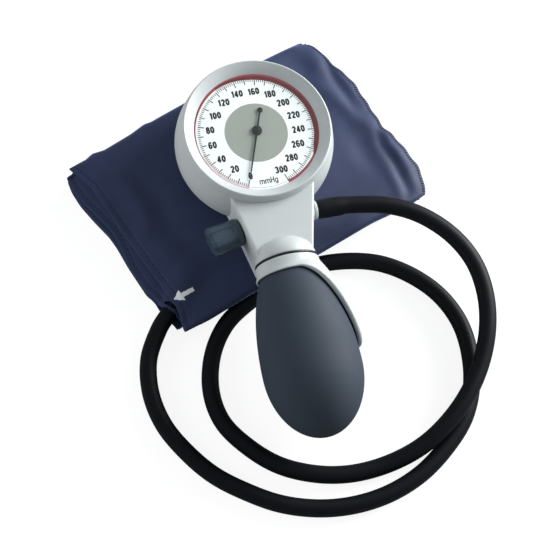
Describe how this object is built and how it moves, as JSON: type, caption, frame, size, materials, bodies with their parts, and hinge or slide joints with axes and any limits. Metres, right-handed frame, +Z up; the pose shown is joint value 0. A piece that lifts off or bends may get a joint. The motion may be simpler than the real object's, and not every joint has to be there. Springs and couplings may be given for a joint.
{
  "type": "aneroid sphygmomanometer",
  "caption": "Palm-held aneroid blood pressure gauge with a dial, a release valve, a spoon lever and a rubber bulb, joined by a long hose to a folded fabric arm cuff.",
  "frame": {"origin": "on the table under the centre of the dial, in the flat underside of the folded cuff", "axes": "+Z up from the table; the gauge's 160 mark points about 13 degrees left of +Y, and the bulb lies towards -Y"},
  "size_m": [0.2005, 0.2471, 0.0538],
  "materials": {
    "shell": "satin, light grey-white",
    "fitting": "satin white",
    "lens": "clear acrylic",
    "seal": "black",
    "dial": "matt white print",
    "pointer": "satin black",
    "brass": "machined",
    "spring_steel": "bright strip",
    "steel": "machined",
    "copper": "copper alloy sheet",
    "felt": "felt",
    "knob": "tinted, half clear",
    "disc_rubber": "soft grey",
    "bulb_rubber": "satin slate",
    "cuff_fabric": "navy woven nylon",
    "bladder_rubber": "matt grey",
    "fastener_fabric": "hook and loop tape",
    "hose_rubber": "matt black"
  },
  "bodies": {
    "instrument": {"gauge_case": "shell", "bezel_ring": "shell", "lens": "lens", "lens_gasket": "seal", "dial_plate": "dial", "hairspring": "spring_steel", "hairspring_stud": "brass", "movement_plate": "brass", "plate_pillars": "steel", "plate_screws": "steel", "movement_bridge": "brass", "bridge_posts": "steel", "bridge_screws": "steel", "rocker_brackets": "steel", "pressure_capsule": "copper", "capsule_spigot": "brass", "neck_body": "shell", "neck_screws": "steel", "neck_cover": "shell", "cover_screws": "steel", "filter_pad": "felt", "valve_seat": "brass", "valve_gland": "steel", "valve_o_ring": "seal", "hose_connector": "fitting", "bulb_nipple": "fitting", "neck_seal_ring": "seal", "bulb": "bulb_rubber", "cuff_cover": "cuff_fabric", "cuff_bladder": "bladder_rubber", "bladder_port": "bladder_rubber", "hook_strip": "fastener_fabric", "loop_panel": "fastener_fabric", "hose": "hose_rubber"},
    "sector": {"sector_gear": "brass", "sector_arbor": "steel"},
    "indicator": {"pointer": "pointer", "pinion_arbor": "brass"},
    "rocker": {"rocker_shaft": "steel"},
    "lift_stud": {"capsule_stud": "brass"},
    "needle": {"valve_needle": "brass"},
    "knob": {"valve_spindle": "steel", "valve_knob": "knob"},
    "lever": {"spoon": "shell"},
    "outlet_disc": {"outlet_valve_disc": "disc_rubber"},
    "inlet_disc": {"inlet_valve_disc": "disc_rubber"}
  },
  "joints": [
    {"name": "sector_swing", "type": "hinge", "parent": "instrument", "child": "sector", "pos_m": [0.01098, 0.01095, 0.03793], "axis": [0.1148, -0.0692, 0.991], "range_deg": [0, 40], "stiffness_Nm_per_rad": 0.002, "springref_deg": -5.73},
    {"name": "pointer_spin", "type": "hinge", "parent": "instrument", "child": "indicator", "pos_m": [-0.00091, 0.00055, 0.03712], "axis": [0.1148, -0.0692, 0.991], "range_deg": [-320, 0]},
    {"name": "rocker_tilt", "type": "hinge", "parent": "instrument", "child": "rocker", "pos_m": [-0.0026, 0.00574, 0.03268], "axis": [-0.9679, -0.2324, 0.0958], "range_deg": [0, 28]},
    {"name": "capsule_rise", "type": "slide", "parent": "instrument", "child": "lift_stud", "axis": [0.1148, -0.0692, 0.991], "range_m": [0, 0.00235], "deforming": ["pressure_capsule"]},
    {"name": "valve_travel", "type": "slide", "parent": "instrument", "child": "needle", "axis": [-0.8928, -0.4447, 0.0723], "range_m": [0, 0.00112]},
    {"name": "knob_turn", "type": "hinge", "parent": "needle", "child": "knob", "pos_m": [-0.01017, -0.04652, 0.03283], "axis": [-0.8928, -0.4447, 0.0723], "range_deg": [0, 540]},
    {"name": "spoon_swivel", "type": "hinge", "parent": "instrument", "child": "lever", "pos_m": [0.01374, -0.06174, 0.03404], "axis": [0.2236, -0.9702, -0.0937], "range_deg": [0, 180]},
    {"name": "outlet_valve_lift", "type": "slide", "parent": "instrument", "child": "outlet_disc", "axis": [-0.2236, 0.9702, 0.0937], "range_m": [0, 0.0008], "stiffness_N_per_m": 5, "springref_m": -0.0002},
    {"name": "inlet_valve_lift", "type": "slide", "parent": "instrument", "child": "inlet_disc", "axis": [0.2236, -0.9702, -0.0937], "range_m": [0, 0.0008], "stiffness_N_per_m": 5, "springref_m": -0.0002}
  ],
  "couplings": [
    {"joint": "pointer_spin", "follows": "sector_swing", "ratio": -8},
    {"joint": "rocker_tilt", "follows": "sector_swing", "ratio": 0.7},
    {"joint": "capsule_rise", "follows": "sector_swing", "m_per_rad": 0.003366},
    {"joint": "valve_travel", "follows": "knob_turn", "m_per_rad": 0.00011937}
  ]
}
